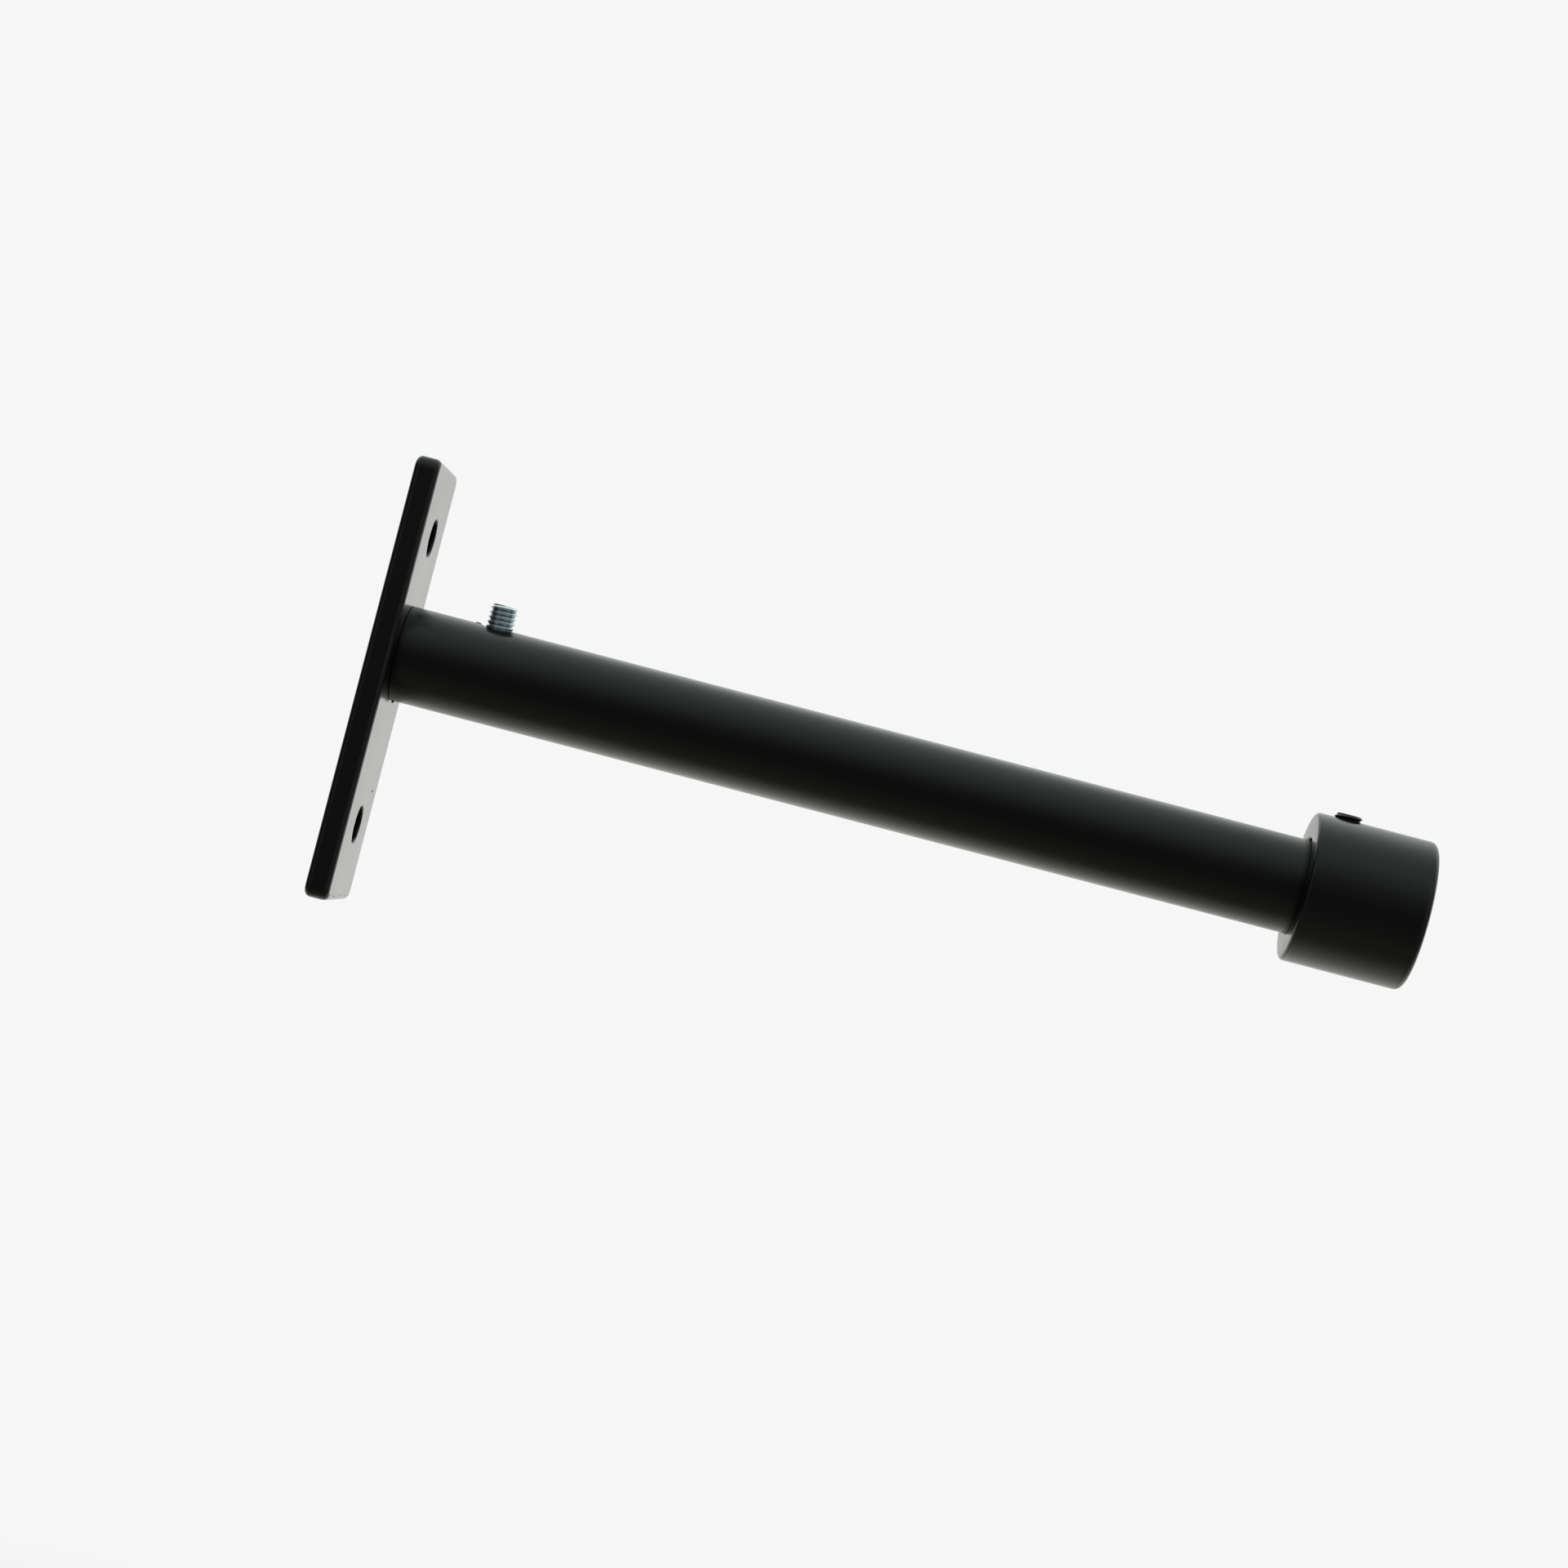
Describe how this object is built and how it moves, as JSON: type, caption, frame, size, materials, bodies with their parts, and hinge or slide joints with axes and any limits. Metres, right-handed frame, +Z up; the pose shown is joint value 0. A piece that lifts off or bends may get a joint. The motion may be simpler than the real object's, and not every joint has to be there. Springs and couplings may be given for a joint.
{
  "type": "curtain pole bracket",
  "caption": "Black wall bracket with an upright screw plate, a straight round arm and a thicker round collar that closes the arm's outer end.",
  "frame": {"origin": "midway between the two wall screw holes, on the plate's back face", "axes": "+Y into the wall, so the arm reaches out along -Y; +Z up, along the plate's long side; X across the plate"},
  "size_m": [0.0314, 0.2217, 0.0923],
  "materials": {
    "black_powder_coat": "satin black powder coat on steel",
    "zinc_plated_steel": "bright zinc plate with a faint blue cast",
    "blackened_steel": "black oxide, lightly oiled"
  },
  "bodies": {
    "root": {"wall_plate": "black_powder_coat", "arm_tube": "black_powder_coat", "end_collar": "black_powder_coat", "arm_grub_screw": "zinc_plated_steel", "collar_grub_screw": "blackened_steel", "arm_spigot": "blackened_steel", "spigot_screw": "blackened_steel"}
  },
  "joints": []
}
